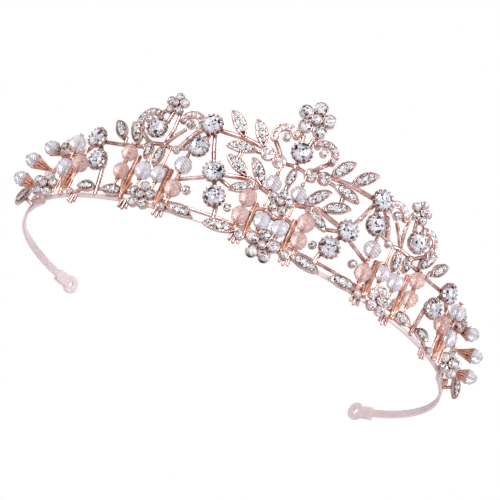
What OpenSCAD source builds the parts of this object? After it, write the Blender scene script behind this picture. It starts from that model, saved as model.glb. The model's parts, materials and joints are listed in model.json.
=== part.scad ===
// Bridal tiara: a flat headband with crimped end loops, a soldered filigree of stems,
// pave leaves and scrolls, claw-set crystals, stone flowers, and beads threaded on wire.
// Millimetres. +Z is up, the front faces -Y, and the tiara stands on Z = 0.
// A place on the tiara is [s, h]: s runs along the band from its middle towards +X, and
// h is the height above the base line, a little below the band. The left half mirrors the
// right half.

/* [Headband] */
// Radius of the front of the band, to the middle of the strip
front_radius = 72; // [66:0.5:78]
// Radius of the two arms, which curve in a little more than the front
arm_radius = 62; // [58:0.5:66]
// Angle from the middle at which the front curve hands over to the arm
front_angle = 48; // [40:1:56]
// Angle from the middle at which each arm ends
end_angle = 132; // [120:1:138]
// Height of the strip along the arms
band_height = 2.6; // [2.4:0.1:3]
// Thickness of the strip
band_thick = 0.8; // [0.7:0.1:1]

/* [End loops] */
// Outside diameter of the flat end loop
loop_diameter = 6; // [5.4:0.1:7]
// Diameter of the hole for a pin or a ribbon
loop_hole = 2.2; // [1.6:0.1:2.6]

/* [Stones] */
// Radius of a big claw-set crystal
crystal_radius = 2.8; // [2.5:0.05:3]
// Radius of the middle stone in a pave leaf
pave_radius = 1.1; // [0.7:0.05:1.2]

/* [Stems] */
// How stout the stems are, as a share of their drawn radius
stem_weight = 1.2; // [1:0.05:1.3]

/* [Beads] */
// Radius of the wire that the beads are threaded on
wire_radius = 0.35; // [0.25:0.01:0.4]
// Radial clearance of a bead that turns on its wire
bead_clearance = 0.06; // [0.02:0.01:0.1]
// Radius of the two drop beads above the middle flower
drop_bead_radius = 2.35; // [2:0.05:2.4]
// Radius of the two striped beads
striped_bead_radius = 2.6; // [2.3:0.05:2.7]

/* [Hidden] */
$fn = 48;
rose = [0.80, 0.55, 0.48];
pale_rose = [0.86, 0.74, 0.73];
crystal_white = [0.88, 0.88, 0.94];
clear_bead = [0.88, 0.86, 0.93];
peach = [0.93, 0.71, 0.63];

front_arc = front_radius * front_angle * PI / 180;
arm_centre = (front_radius - arm_radius) * [sin(front_angle), -cos(front_angle)];
band_end = front_arc + arm_radius * (end_angle - front_angle) * PI / 180;
band_mid = 1.6;
// Behind the spray of flowers the strip is only this high, below its own top edge
front_height = 1.3;
front_reach = -15;
// The flower at the middle of the band hangs lowest, and the tiara stands on it
front_flower_h = 1.6;
front_flower_pitch = 3.2;
front_flower_petal = 1.8;
band_lift = front_flower_pitch * cos(36) + front_flower_petal - front_flower_h;
// Moves the middle of the whole tiara, front to back, to the origin
centre_shift = 18.4;

leaf_thick = 1.2;
// A solder ball's radius, as a share of its wire's
solder_swell = 1.2;
stem_out = 0.3;
stone_sink = 0.45;
seat_gap = 0.02;
bezel_wall = 0.35;
bezel_depth = 1.4;
prong_radius = 0.36;
prong_ring = crystal_radius + 0.15;
girdle_out = 2.5;
rail_height = 4.6;
bead_out = 1.2;
// How far out from the band's middle the backs of the leaves and settings lie
plate_out = 0.25;
arch_out = 0.2;

// Big claw-set crystals of one half: [s, h]
claw_places = [[26, 30], [27, 22.5], [20, 16.5], [17, 9.5], [41.5, 25.5], [61.5, 20.5], [57, 13]];
centre_claw_h = 31.3;

// Leaves: [s, h, length, width, turn]
inner_leaves = [[19.3, 33.4, 8.2, 3.5, 46], [12.4, 32.8, 7.8, 3.5, 56], [16, 26.8, 7.8, 3.3, -8],
    [14.9, 21.3, 7.8, 3.3, 28], [8.8, 21.5, 8.2, 3.3, 52], [10.9, 15.6, 7.6, 3.1, -25]];
side_leaves = [[54.6, 24.2, 7.2, 3.5, 48], [48.4, 23.6, 7.6, 3.4, 55], [37.9, 17.2, 6.4, 2.8, 94],
    [41.8, 18.8, 5.4, 2.8, 84]];
border_leaves = [[12.8, 2.4, 8.4, 3.4, -5], [24.8, 3, 7.8, 3.4, 7], [47.4, 4.4, 7.2, 3.3, 2],
    [57.8, 4.9, 6.4, 3.3, 4]];
centre_leaf_place = [0, 23.5, 5.8, 2.6, 90];
end_leaf_place = [90, 3.6, 6.4, 3.3, -66];
end_leaf_out = 3.4;
end_leaf_heading = -38;

// Small bezel-set stones: [s, h, radius]
small_bezels = [[5.6, 34.3, 1.3], [32.6, 29, 1.4], [45.9, 28.2, 1.3], [33.4, 20.2, 1.15],
    [25.4, 9.2, 1.3], [12.7, 8.2, 1.2], [6.6, 1.9, 1.5], [30.2, 2.2, 1.4], [63.4, 2.6, 1.2],
    [85.4, 2.6, 1.1]];

// Flowers: [s, h, distance of the petals from the middle, petal radius, middle radius,
// how far out the back lies, turn towards the front]
top_flower = [0, 42.6, 3.7, 2.1, 1.65, plate_out, 0];
middle_flower = [0, 15.4, 2.5, 1.45, 1.2, plate_out, 0];
front_flower = [0, front_flower_h, front_flower_pitch, front_flower_petal, 1.3, plate_out, 0];
side_flower = [39.6, 34.4, 2.35, 1.35, 1.05, plate_out, 0];
band_flower = [37.3, 4.2, 2.8, 1.65, 1.25, plate_out, 0];
end_flower = [76.4, 5, 2.8, 1.65, 1.25, 2.2, -30];
tip_flower = [77.4, 19, 1.8, 1.05, 0.9, 0.6, -15];

// Scroll arches: [s, h, radius, first angle, last angle]
centre_arch = [5.9, 34.2, 3.1, -25, 150];
side_arches = [[32.4, 29.1, 3.2, 15, 195], [45.6, 27.7, 3.4, -45, 125]];
arch_width = 1.9;
// Round pave lobes where the centre scrolls meet their stems: [s, h]
knot_places = [[4.8, 26.6], [8.5, 27.5]];
knot_radius = 1.95;

// Stems, each a run of [s, h] points; the first number of a stem is its wire radius
centre_half_stems = [[0.45, [8.7, 32.9], [6.6, 30.6], [4.8, 28.3]],
    [0.45, [3.4, 35.8], [1.7, 36.9]], [0.4, [1.4, 37.2], [1.1, 34]],
    [0.4, [0.2, 27.4], [3.6, 26.8]],
    [0.36, [2.6, 36.1], [1.9, 38.8]]];
centre_stem_runs = [[0.5, [0, 28.4], [0, 17.6]]];
inner_stem_runs = [[0.5, [4.6, 28.2], [10, 29], [16, 29.8], [24.2, 29.8]],
    [0.5, [2.4, 16.4], [5.6, 17.3], [10.4, 18.7], [18.2, 17.1]],
    [0.5, [15.5, 26.4], [15.8, 21.8]], [0.45, [24.9, 28.5], [22.8, 22.6], [20.8, 18.1]],
    [0.4, [13.8, 14.1], [18.1, 15.7]], [0.4, [21.2, 15.3], [29.2, 12]],
    [0.5, [15.9, 8.2], [14.8, 2.3]], [0.4, [8.6, 27.5], [12.6, 27.2]],
    [0.5, [26.2, 28.3], [26.8, 24.3]], [0.5, [19.3, 14.8], [17.7, 11.1]],
    [0.35, [29.8, 21.8], [33, 21.2]]];
side_stem_runs = [[0.6, [29.4, 28.4], [31.4, 24.6], [33.3, 20.8]],
    [0.4, [33.6, 27.6], [36.2, 24.4], [38, 21.5]], [0.36, [37.6, 32.8], [37.2, 27], [38.1, 21.3]],
    [0.45, [39.8, 32.4], [40.4, 28.4]], [0.45, [41.2, 33], [44.2, 31]],
    [0.45, [33.4, 20.2], [38, 21.4], [43.2, 21.2], [48, 25]],
    [0.42, [43.2, 21.2], [44.4, 19.6], [50, 19.4], [59.8, 20.1]],
    [0.38, [46.4, 20.6], [47, 19.5]], [0.38, [51.8, 22], [51.2, 19.5]]];
outer_stem_runs = [[0.5, [55.5, 11.8], [53.4, 2.3]], [0.5, [57.9, 14.7], [60.6, 18.9]],
    [0.45, [63.1, 19.6], [66.2, 17.2], [71.8, 16.2], [78, 16.4], [82.2, 12], [82.4, 2.2]],
    [0.42, [59, 4.6], [63.6, 2.1]]];

// Bead wires: [s, lowest h, highest h]
bead_wire_runs = [[3.7, 12.4, 26], [2.6, 2.8, 13], [8.6, 2.8, 18.2], [29.2, 2.8, 20.6],
    [35, 4.4, 20.6], [40.1, 5, 17.2], [47.3, 3.6, 19.6], [65, 2.8, 17.4], [71.8, 2.8, 22.8]];
// Posts wrapped in wire: [s, lowest h, highest h, radius]
wrap_runs = [[5.7, 2.2, 12.6, 0.75], [43.8, 2.2, 16.4, 0.75], [32.2, 2.2, 12.3, 0.52],
    [68.4, 2, 15.6, 0.75]];
wrap_out = 0.9;
// Copper fans low on those posts: [s, h of the mouth, length, radius of the mouth]
fan_places = [[5.7, 5, 3, 1.3], [43.8, 7.5, 4.6, 1.8], [32.2, 5.8, 3.4, 1.6], [68.4, 7.4, 4.8, 1.8]];
fan_foot = 0.95;
fan_recess = 1.2;
// Clear beads of one half: [s, h, out, radius]
clear_places = [[2.6, 8.2, bead_out, 2.4], [35, 11.7, bead_out, 2.3], [40.1, 11.8, bead_out, 2.5],
    [71.8, 11.2, bead_out, 2.7], [71.8, 19.8, bead_out, 2.4]];
// Peach beads of one half: [s, h, out, radius]
peach_places = [[8.6, 13, bead_out, 2.6], [8.6, 7.4, bead_out, 2.5], [29.2, 8.6, bead_out, 2.5],
    [47.3, 16.6, bead_out, 2.35], [47.3, 10.6, bead_out, 2.35], [65, 12.2, bead_out, 2.5]];
// Beads that stand out sideways at the end of the spray: [s, h, out, radius]
outward_places = [[80, 17.4, 4.6, 2.4], [84, 12.6, 7, 2.4], [86, 6.6, 7.3, 2.3]];
// Where the pin of each of those beads is soldered to the outer stems
pin_feet = [place(78, 16.4, 0.3), place(82.3, 10, 0.3), place(82.4, 5, 0.3)];
pin_foot_radius = 0.42;
// Wire arch over the first clear bead of each side
side_arch_place = [35, 11.7];
side_arch_radius = 3;
drop_place = [3.7, 19.85];
striped_place = [29.2, 16.1];
bead_wall = 0.1;
cap_wall = 0.35;
bell_neck = 4;
bell_foot = 0.85;
stop_radius = 0.62;
stop_gap = 0.05;

// Claw tips of the band stones, which hang just below the band: [s]
claw_tip_places = [7.4, 30.4, 41.6, 61.4];

// Heading of the band at s, in degrees from the middle
function heading(s) = s < front_arc
    ? s / front_radius * 180 / PI
    : front_angle + (s - front_arc) / arm_radius * 180 / PI;

// Point on the band's centre line at s, seen from above
function plan(s) = s < front_arc
    ? front_radius * [sin(heading(s)), -cos(heading(s))]
    : arm_centre + arm_radius * [sin(heading(s)), -cos(heading(s))];

// Point in space at s along the band, h above its lower edge and out from its middle
function place(s, h, out = 0) = [plan(s)[0] + out * sin(heading(s)),
    plan(s)[1] - out * cos(heading(s)) + centre_shift, h + band_lift];

// Puts a flat drawing on the tiara: its x runs along the band, its y up, its z outwards
module at(s, h, out = 0, turn = 0)
    translate(place(s, h, out))
        rotate([0, 0, heading(s)])
            rotate([90, 0, 0])
                rotate([0, 0, turn])
                    children();

module mirrored() mirror([1, 0, 0]) children();

// Round wire between two points in space
module wire(from, to, radius) {
    run = to - from;
    length = norm(run);
    translate(from)
        rotate([0, acos(run[2] / length), atan2(run[1], run[0])])
            cylinder(h = length, r = radius);
}

// Direction that halves the angle inside a bend, which keeps the ball's own seam clear of the wires
function bend_heading(before, here, after) =
    let (back = atan2(before[1] - here[1], before[0] - here[0]),
        ahead = atan2(after[1] - here[1], after[0] - here[0]))
    (back + ahead) / 2 + (abs(back - ahead) < 180 ? 0 : 180);

// A stem: its wire radius, then its points, with a solder ball at each bend
module stem(run) {
    radius = run[0] * stem_weight;
    for (i = [1 : len(run) - 2])
        wire(place(run[i][0], run[i][1], stem_out), place(run[i + 1][0], run[i + 1][1], stem_out), radius);
    if (len(run) > 3)
        for (i = [2 : len(run) - 2])
            at(run[i][0], run[i][1], stem_out, bend_heading(run[i - 1], run[i], run[i + 1]))
                sphere(r = radius * solder_swell);
}

module stems(runs) for (run = runs) stem(run);

// ---- stones ----

// Cut stone that stands in a round seat: a girdle with a bevelled crown
module seat_stone(radius) {
    cylinder(h = stone_sink, r = radius);
    translate([0, 0, stone_sink]) cylinder(h = radius * 0.4, r1 = radius, r2 = radius * 0.58);
}

// Radius and place along its leaf of each of the three stones
function leaf_stones(leaf) =
    let (middle = min(pave_radius, leaf[3] / 2 - 0.42, (leaf[2] / 4 - 0.06) / 1.76))
    [for (i = [-1 : 1]) [i * leaf[2] / 4, middle * (i == 0 ? 1 : 0.76)]];

module leaf_stone_row(leaf, grow = 0, deep = 0)
    for (stone = leaf_stones(leaf))
        translate([stone[0], 0, leaf_thick - stone_sink - deep])
            if (grow > 0) cylinder(h = stone_sink + 1, r = stone[1] + grow);
            else seat_stone(stone[1]);

// Leaf plate: two arcs that meet at its tips, and each tip rounded by a small disc
leaf_tip_radius = 0.45;
leaf_tip_inset = 0.38;
module leaf_outline(length, width) {
    arc = (length * length + width * width) / (4 * width);
    intersection() {
        translate([0, arc - width / 2]) circle(r = arc, $fn = 180);
        translate([0, width / 2 - arc]) circle(r = arc, $fn = 180);
    }
    for (way = [-1, 1])
        translate([way * (length / 2 - leaf_tip_inset), 0]) circle(r = leaf_tip_radius);
}

module leaf_plate(leaf)
    difference() {
        linear_extrude(leaf_thick) leaf_outline(leaf[2], leaf[3]);
        leaf_stone_row(leaf, seat_gap);
    }

module leaf_row(leaves, out) for (leaf = leaves) at(leaf[0], leaf[1], out, leaf[4]) leaf_plate(leaf);

module leaf_row_stones(leaves, out)
    for (leaf = leaves) at(leaf[0], leaf[1], out, leaf[4]) leaf_stone_row(leaf);

module end_leaf_spot()
    at(end_leaf_place[0], end_leaf_place[1], end_leaf_out)
        rotate([0, end_leaf_heading, 0])
            rotate([0, 0, end_leaf_place[4]])
                children();

// ---- bezels and flowers ----

module bezel_cup(radius)
    difference() {
        cylinder(h = bezel_depth, r = radius);
        translate([0, 0, bezel_depth - stone_sink]) cylinder(h = 1, r = radius - bezel_wall + seat_gap);
    }

module bezel_stone(radius)
    translate([0, 0, bezel_depth - stone_sink]) seat_stone(radius - bezel_wall);

module flower_spots(pitch)
    for (i = [0 : 4]) rotate([0, 0, 90 + 72 * i]) translate([pitch, 0, 0]) children();

module flower_spot(flower)
    at(flower[0], flower[1], flower[5]) rotate([0, flower[6], 0]) children();

module flower_setting(flower)
    flower_spot(flower) {
        flower_spots(flower[2]) bezel_cup(flower[3]);
        translate([0, 0, 0.5]) bezel_cup(flower[4]);
        cylinder(h = 0.6, r = flower[2]);
    }

module flower_stones(flower)
    flower_spot(flower) {
        flower_spots(flower[2]) bezel_stone(flower[3]);
        translate([0, 0, 0.5]) bezel_stone(flower[4]);
    }

// ---- claw-set crystals ----

module claw_cup() {
    difference() {
        cylinder(h = 1.6, r = 2.2);
        translate([0, 0, 0.5]) cylinder(h = 2, r = 1.5);
    }
    for (i = [0 : 5])
        rotate([0, 0, 60 * i + 30]) translate([prong_ring, 0, 0]) {
            translate([0, 0, 0.6]) cylinder(h = girdle_out, r = prong_radius);
            translate([0, 0, girdle_out + 0.6]) sphere(r = prong_radius + 0.06);
        }
    translate([0, 0, 0.9])
        rotate_extrude()
            translate([1.9, -0.35]) square([prong_ring - 1.9 + 0.2, 0.7]);
}

module crystal() {
    translate([0, 0, girdle_out - 1.95]) cylinder(h = 1.95, r1 = 0.06, r2 = crystal_radius);
    translate([0, 0, girdle_out]) cylinder(h = 0.25, r = crystal_radius);
    translate([0, 0, girdle_out + 0.25]) cylinder(h = 0.9, r1 = crystal_radius, r2 = crystal_radius * 0.58);
}

// ---- scrolls ----

module arch_spots(arch, count, inset = 12)
    for (i = [0 : count - 1])
        rotate([0, 0, arch[3] + inset + (arch[4] - arch[3] - 2 * inset) * i / (count - 1)])
            translate([arch[2], 0, 0])
                children();

// How much wider than its arch the round end of a scroll is
arch_knob = 0.15;
arch_stone_radius = 0.66;
arch_stone_count = 6;

module arch_plate(arch)
    at(arch[0], arch[1], arch_out)
        difference() {
            union() {
                rotate_extrude(angle = arch[4] - arch[3], start = arch[3])
                    translate([arch[2] - arch_width / 2, 0]) square([arch_width, leaf_thick]);
                for (end = [arch[3], arch[4]])
                    rotate([0, 0, end]) translate([arch[2], 0, 0])
                        cylinder(h = leaf_thick, r = arch_width / 2 + arch_knob);
            }
            arch_spots(arch, arch_stone_count) translate([0, 0, leaf_thick - stone_sink])
                cylinder(h = 1, r = arch_stone_radius + seat_gap);
        }

module arch_stones(arch)
    at(arch[0], arch[1], arch_out)
        arch_spots(arch, arch_stone_count) translate([0, 0, leaf_thick - stone_sink])
            seat_stone(arch_stone_radius);

module knot_spots() for (i = [0 : 2]) rotate([0, 0, 120 * i + 30]) translate([0.95, 0, 0]) children();

module knot_plate(knot)
    at(knot[0], knot[1], arch_out)
        difference() {
            cylinder(h = leaf_thick, r = knot_radius);
            knot_spots() translate([0, 0, leaf_thick - stone_sink])
                cylinder(h = 1, r = 0.72 + seat_gap);
        }

module knot_stones(knot)
    at(knot[0], knot[1], arch_out) knot_spots() translate([0, 0, leaf_thick - stone_sink]) seat_stone(0.72);

// ---- beads ----

// Bead with a hole along its thread, which runs up the tiara
module bead(radius, hole)
    difference() {
        sphere(r = radius, $fn = 64);
        cylinder(h = 3 * radius, r = hole, center = true);
    }

module upright_beads(places)
    for (spot = places) translate(place(spot[0], spot[1], spot[2])) bead(spot[3], wire_radius + bead_wall);

module turning_bead(spot, radius)
    translate(place(spot[0], spot[1], bead_out)) bead(radius, wire_radius + bead_clearance);

// ---- named pieces, right half ----

// One long edge of the band seen from above, from its middle to the end of the right arm
band_steps = 90;
function band_side(out) = [for (i = [0 : band_steps])
    let (s = (band_end - 2) * i / band_steps)
    plan(s) + out * [sin(heading(s)), -cos(heading(s))]];
// The same edge over both halves, from the left end to the right
function whole_side(out) = let (side = band_side(out))
    concat([for (i = [band_steps : -1 : 1]) [-side[i][0], side[i][1]]], side);
function reversed(points) = [for (i = [len(points) - 1 : -1 : 0]) points[i]];

module headband() color(pale_rose)
    translate([0, centre_shift, band_lift + band_mid - band_height / 2])
        difference() {
            linear_extrude(band_height)
                polygon(concat(whole_side(-band_thick / 2), reversed(whole_side(band_thick / 2))));
            translate([-100, front_reach - centre_shift - 100, -1])
                cube([200, 100, 1 + band_height - front_height]);
        }

loop_thick = 1.2;
crimp_length = 5;
crimp_wall = 0.6;
loop_place = band_end + loop_diameter / 2 - 1;

module right_end_loop() color(pale_rose)
    at(loop_place, band_mid, 0)
        difference() {
            union() {
                translate([0, 0, -loop_thick / 2]) cylinder(h = loop_thick, r = loop_diameter / 2);
                translate([-loop_diameter / 2 - crimp_length + 1.2, -band_height / 2 - crimp_wall,
                    -band_thick / 2 - crimp_wall])
                    cube([crimp_length, band_height + 2 * crimp_wall, band_thick + 2 * crimp_wall]);
            }
            translate([0, 0, -2]) cylinder(h = 4, r = loop_hole / 2);
            translate([1.75, 0.7, loop_thick / 2 - 0.3]) cylinder(h = 1, r = 0.35);
        }

module left_end_loop() mirrored() right_end_loop();

module upper_rail() color(rose) {
    translate([0, centre_shift, band_lift + rail_height])
        rotate([0, 0, -90])
            rotate_extrude(angle = 2 * front_angle, start = -front_angle, $fn = 360)
                translate([front_radius, 0]) circle(r = 0.42, $fn = 32);
    // Knob where the two arches over the front beads meet
    translate(place(0, 10.6, wrap_out)) sphere(r = 0.95);
}

module centre_stems() color(rose) {
    stems(centre_stem_runs);
    stems(centre_half_stems);
    mirrored() stems(centre_half_stems);
    bead_arch();
    mirrored() bead_arch();
}

// Wire arch over one of the two beads beside the front flower
module bead_arch()
    at(3, 8, wrap_out)
        rotate_extrude(angle = 112, start = 20) translate([3.6, 0]) circle(r = 0.5, $fn = 32);

module right_inner_stems() color(rose) stems(inner_stem_runs);
module left_inner_stems() mirrored() right_inner_stems();

module right_side_stems() color(rose) stems(side_stem_runs);
module left_side_stems() mirrored() right_side_stems();

module right_outer_stems() color(rose) {
    stems(outer_stem_runs);
    wire(place(88, 1.6, 0.3), place(90, 3.6, end_leaf_out + 0.4), 0.45);
    wire(place(77.6, 2.2, 0.2), place(77, 4.6, end_flower[5] + 0.2), 0.5);
    for (s = claw_tip_places) {
        wire(place(s, 2.1, 0.6), place(s, -0.9, 0.8), 0.42);
        for (way = [-1, 1])
            wire(place(s + way, 2, 0.6), place(s + 1.3 * way, -0.5, 0.8), 0.36);
    }
}
module left_outer_stems() mirrored() right_outer_stems();

module centre_leaf() color(rose) leaf_row([centre_leaf_place], plate_out);
module right_inner_leaves() color(rose) leaf_row(inner_leaves, plate_out);
module left_inner_leaves() mirrored() right_inner_leaves();
module right_side_leaves() color(rose) {
    leaf_row(side_leaves, plate_out);
    end_leaf_spot() leaf_plate(end_leaf_place);
}
module left_side_leaves() mirrored() right_side_leaves();
module right_border_leaves() color(rose) leaf_row(border_leaves, plate_out);
module left_border_leaves() mirrored() right_border_leaves();

module right_centre_scroll() color(rose) {
    arch_plate(centre_arch);
    for (knot = knot_places) knot_plate(knot);
}
module left_centre_scroll() mirrored() right_centre_scroll();
module right_side_scrolls() color(rose) for (arch = side_arches) arch_plate(arch);
module left_side_scrolls() mirrored() right_side_scrolls();

module top_flower_setting() color(rose) flower_setting(top_flower);
module middle_flower_setting() color(rose) flower_setting(middle_flower);
module front_flower_setting() color(rose) flower_setting(front_flower);
module right_side_flower_setting() color(rose) flower_setting(side_flower);
module left_side_flower_setting() mirrored() right_side_flower_setting();
module right_band_flower_setting() color(rose) flower_setting(band_flower);
module left_band_flower_setting() mirrored() right_band_flower_setting();
module right_end_flower_settings() color(rose)
    for (flower = [end_flower, tip_flower]) flower_setting(flower);
module left_end_flower_settings() mirrored() right_end_flower_settings();

module centre_flower_stones() color(crystal_white)
    for (flower = [top_flower, middle_flower, front_flower]) flower_stones(flower);
module right_flower_stones() color(crystal_white)
    for (flower = [side_flower, band_flower, end_flower, tip_flower]) flower_stones(flower);
module left_flower_stones() mirrored() right_flower_stones();

module centre_claw_cup() color(rose) at(0, centre_claw_h) claw_cup();
module right_claw_cups() color(rose) for (spot = claw_places) at(spot[0], spot[1]) claw_cup();
module left_claw_cups() mirrored() right_claw_cups();

module centre_crystal() color(crystal_white) at(0, centre_claw_h) crystal();
module right_crystals() color(crystal_white) for (spot = claw_places) at(spot[0], spot[1]) crystal();
module left_crystals() mirrored() right_crystals();

module right_small_bezels() color(rose)
    for (spot = small_bezels) at(spot[0], spot[1], plate_out) bezel_cup(spot[2]);
module left_small_bezels() mirrored() right_small_bezels();
module right_small_stones() color(crystal_white)
    for (spot = small_bezels) at(spot[0], spot[1], plate_out) bezel_stone(spot[2]);
module left_small_stones() mirrored() right_small_stones();

module centre_pave_stones() color(crystal_white) leaf_row_stones([centre_leaf_place], plate_out);
module right_pave_stones() color(crystal_white) {
    leaf_row_stones(inner_leaves, plate_out);
    leaf_row_stones(side_leaves, plate_out);
    leaf_row_stones(border_leaves, plate_out);
    end_leaf_spot() leaf_stone_row(end_leaf_place);
    arch_stones(centre_arch);
    for (arch = side_arches) arch_stones(arch);
    for (knot = knot_places) knot_stones(knot);
}
module left_pave_stones() mirrored() right_pave_stones();

// Wires that the beads are threaded on, with ball stops for the beads that turn
module right_bead_wires() color(rose) {
    for (run = bead_wire_runs)
        wire(place(run[0], run[1], bead_out), place(run[0], run[2], bead_out), wire_radius);
    for (run = wrap_runs)
        wire(place(run[0], run[1], wrap_out), place(run[0], run[2], wrap_out), run[3]);
    for (spot = outward_places)
        wire(place(spot[0], spot[1], 0), place(spot[0], spot[1], spot[2] + spot[3]), wire_radius);
    for (i = [0 : 2])
        wire(place(outward_places[i][0], outward_places[i][1], 0.2), pin_feet[i], pin_foot_radius);
    at(side_arch_place[0], side_arch_place[1], wrap_out)
        rotate_extrude(angle = 130, start = 40) translate([side_arch_radius, 0]) circle(r = 0.44, $fn = 32);
    bead_stops(drop_place, drop_bead_radius);
    bead_stops(striped_place, striped_bead_radius);
}
module left_bead_wires() mirrored() right_bead_wires();

// Ball stops stand just clear of the bead's own hole at its two ends
module bead_stops(spot, radius)
    for (way = [-1, 1])
        translate(place(spot[0], spot[1] + way * (radius + stop_gap + stop_radius), bead_out))
            sphere(r = stop_radius);

// Long bell that holds the inner side of a bead, its stalk end towards the band
module bell_cap(radius, out) {
    neck = min(bell_neck, out - radius - 0.3);
    mouth = -0.2 * radius;
    difference() {
        translate([0, 0, -radius - neck])
            cylinder(h = radius + neck + mouth, r1 = bell_foot, r2 = radius + cap_wall);
        sphere(r = radius + seat_gap, $fn = 64);
        cylinder(h = 4 * (radius + neck), r = wire_radius + seat_gap, center = true);
    }
}

// Fan of copper low on a wrapped post, with a hollow mouth
module post_fan(fan)
    translate(place(fan[0], fan[1] - fan[2], wrap_out))
        difference() {
            cylinder(h = fan[2], r1 = fan_foot, r2 = fan[3]);
            translate([0, 0, fan[2] - fan_recess])
                cylinder(h = fan_recess + 0.1, r1 = fan[3] * 0.6, r2 = fan[3] - 0.25);
        }

module right_bell_caps() color(rose) {
    for (spot = outward_places) at(spot[0], spot[1], spot[2]) bell_cap(spot[3], spot[2]);
    for (fan = fan_places) post_fan(fan);
}
module left_bell_caps() mirrored() right_bell_caps();

module right_clear_beads() color(clear_bead) {
    upright_beads(clear_places);
    for (spot = outward_places) at(spot[0], spot[1], spot[2]) bead(spot[3], wire_radius + bead_wall);
}
module left_clear_beads() mirrored() right_clear_beads();

module right_peach_beads() color(peach) upright_beads(peach_places);
module left_peach_beads() mirrored() right_peach_beads();

module right_drop_bead() color(clear_bead) turning_bead(drop_place, drop_bead_radius);
module left_drop_bead() mirrored() right_drop_bead();
module right_striped_bead() color(clear_bead) turning_bead(striped_place, striped_bead_radius);
module left_striped_bead() mirrored() right_striped_bead();

headband();
left_end_loop();
right_end_loop();
upper_rail();
centre_stems();
left_inner_stems();
right_inner_stems();
left_side_stems();
right_side_stems();
left_outer_stems();
right_outer_stems();
centre_leaf();
left_inner_leaves();
right_inner_leaves();
left_side_leaves();
right_side_leaves();
left_border_leaves();
right_border_leaves();
left_centre_scroll();
right_centre_scroll();
left_side_scrolls();
right_side_scrolls();
top_flower_setting();
middle_flower_setting();
front_flower_setting();
left_side_flower_setting();
right_side_flower_setting();
left_band_flower_setting();
right_band_flower_setting();
left_end_flower_settings();
right_end_flower_settings();
centre_flower_stones();
left_flower_stones();
right_flower_stones();
centre_claw_cup();
left_claw_cups();
right_claw_cups();
centre_crystal();
left_crystals();
right_crystals();
left_small_bezels();
right_small_bezels();
left_small_stones();
right_small_stones();
centre_pave_stones();
left_pave_stones();
right_pave_stones();
left_bead_wires();
right_bead_wires();
left_bell_caps();
right_bell_caps();
left_clear_beads();
right_clear_beads();
left_peach_beads();
right_peach_beads();
left_drop_bead();
right_drop_bead();
left_striped_bead();
right_striped_bead();
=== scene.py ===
"""Bridal tiara: detailed metal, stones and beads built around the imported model."""

import json
import math
import random

import bmesh
import bpy
import numpy as np
from mathutils import Matrix, Vector


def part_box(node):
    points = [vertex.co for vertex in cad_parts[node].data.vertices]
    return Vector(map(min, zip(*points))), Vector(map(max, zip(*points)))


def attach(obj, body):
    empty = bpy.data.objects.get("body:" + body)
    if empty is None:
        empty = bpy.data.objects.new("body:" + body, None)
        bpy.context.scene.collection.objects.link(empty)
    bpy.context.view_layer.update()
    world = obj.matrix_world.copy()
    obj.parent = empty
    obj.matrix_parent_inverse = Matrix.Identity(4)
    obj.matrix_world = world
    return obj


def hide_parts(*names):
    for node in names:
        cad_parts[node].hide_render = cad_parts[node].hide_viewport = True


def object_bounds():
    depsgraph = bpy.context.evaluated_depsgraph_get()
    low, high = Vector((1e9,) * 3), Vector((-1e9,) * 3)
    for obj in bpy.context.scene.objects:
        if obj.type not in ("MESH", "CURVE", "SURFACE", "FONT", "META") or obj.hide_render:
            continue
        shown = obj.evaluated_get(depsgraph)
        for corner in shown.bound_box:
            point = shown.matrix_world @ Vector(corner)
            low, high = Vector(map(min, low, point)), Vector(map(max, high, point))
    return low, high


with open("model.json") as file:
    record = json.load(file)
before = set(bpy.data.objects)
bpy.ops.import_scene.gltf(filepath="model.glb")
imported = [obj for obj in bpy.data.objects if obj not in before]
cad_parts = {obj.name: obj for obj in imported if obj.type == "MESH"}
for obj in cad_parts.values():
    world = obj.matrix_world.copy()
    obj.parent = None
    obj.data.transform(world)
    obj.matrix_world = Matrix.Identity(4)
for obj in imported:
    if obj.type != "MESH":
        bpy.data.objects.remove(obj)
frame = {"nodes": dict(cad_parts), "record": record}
cad_low, cad_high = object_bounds()

MM = 0.001
TAU = 2 * math.pi
UP = Vector((0, 0, 1))
BODY_OF = {node: body for body, nodes in frame["record"]["behaviour"]["bodies"].items() for node in nodes}
# A point inside the band, which every setting faces away from
INSIDE = sum(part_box("headband"), Vector()) / 2
SIDES = ("left", "right")

random.seed(7)


# ---- camera, light and floor ----

# Where the camera aims, from the middle of the tiara's box. It stands in front and below, and looks up
AIM_FROM_MIDDLE = Vector((0, -16.6, -2.8)) * MM
CAMERA_DISTANCE = 499.4 * MM
CAMERA_PITCH = math.radians(20.67)
CAMERA_YAW = 0.0074
CAMERA_ROLL = math.radians(23.83)
# Focal length and sensor width in millimetres
LENS = 120.7
SENSOR = 36
IMAGE_SHIFT = (-0.032, -0.0352)


def make_camera():
    ahead = Vector((math.sin(CAMERA_YAW) * math.cos(CAMERA_PITCH),
                    math.cos(CAMERA_YAW) * math.cos(CAMERA_PITCH), math.sin(CAMERA_PITCH)))
    level = Vector((math.cos(CAMERA_YAW), -math.sin(CAMERA_YAW), 0))
    above = level.cross(ahead)
    right = level * math.cos(CAMERA_ROLL) + above * math.sin(CAMERA_ROLL)
    up = above * math.cos(CAMERA_ROLL) - level * math.sin(CAMERA_ROLL)
    turn = Matrix((right, up, -ahead)).transposed().to_4x4()
    aim = (cad_low + cad_high) / 2 + AIM_FROM_MIDDLE
    data = bpy.data.cameras.new("camera")
    data.lens = LENS
    data.sensor_width = SENSOR
    data.shift_x, data.shift_y = IMAGE_SHIFT
    data.clip_start = 0.01
    camera = bpy.data.objects.new("camera", data)
    bpy.context.scene.collection.objects.link(camera)
    camera.matrix_world = Matrix.Translation(aim - ahead * CAMERA_DISTANCE) @ turn
    bpy.context.scene.camera = camera


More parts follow.
